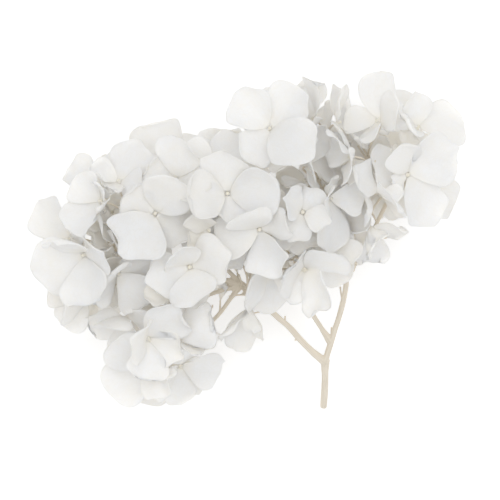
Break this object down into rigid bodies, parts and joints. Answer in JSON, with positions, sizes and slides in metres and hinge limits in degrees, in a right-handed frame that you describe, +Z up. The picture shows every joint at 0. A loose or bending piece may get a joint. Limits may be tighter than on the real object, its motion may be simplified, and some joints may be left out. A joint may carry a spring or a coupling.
{
  "type": "dried hydrangea",
  "caption": "Preserved bleached mophead hydrangea: a two-lobed head of four-sepalled florets on thin branching stalks and a short cut stem, lying on its side as decoration.",
  "frame": {"origin": "centre of the part's footprint, on the surface that the flower lies on", "axes": "+X along the head from its left lobe to its right lobe, +Y from the cut end of the stem towards the crown, +Z up from the surface"},
  "size_m": [0.197, 0.1534, 0.0892],
  "materials": {
    "stem": "matt bleached and dried stalk with fine lengthwise ridges",
    "sepal": "matt bleached sepal, thin and papery, slightly translucent"
  },
  "bodies": {
    "root": {"main_stem": "stem", "right_branch": "stem", "left_branch": "stem", "middle_branch": "stem", "ray_upper_left": "stem", "ray_left": "stem", "ray_lower_left": "stem", "ray_bottom": "stem", "ray_crown": "stem", "ray_upper_right": "stem", "ray_right": "stem", "floret_01": "sepal", "floret_02": "sepal", "floret_03": "sepal", "floret_04": "sepal", "floret_05": "sepal", "floret_06": "sepal", "floret_07": "sepal", "floret_08": "sepal", "floret_09": "sepal", "floret_10": "sepal", "floret_11": "sepal", "floret_12": "sepal", "floret_13": "sepal", "floret_14": "sepal", "floret_15": "sepal", "floret_16": "sepal", "floret_17": "sepal", "floret_18": "sepal", "floret_19": "sepal", "floret_20": "sepal", "floret_21": "sepal", "floret_22": "sepal", "floret_23": "sepal", "floret_24": "sepal", "floret_25": "sepal", "floret_26": "sepal", "floret_27": "sepal", "floret_28": "sepal", "floret_29": "sepal", "floret_30": "sepal", "floret_31": "sepal", "floret_32": "sepal", "floret_33": "sepal", "floret_34": "sepal", "floret_35": "sepal", "floret_36": "sepal", "floret_37": "sepal", "floret_38": "sepal", "floret_39": "sepal", "floret_40": "sepal", "floret_41": "sepal", "floret_42": "sepal", "floret_43": "sepal", "floret_44": "sepal", "floret_45": "sepal", "floret_46": "sepal", "floret_47": "sepal", "floret_48": "sepal"}
  },
  "joints": []
}
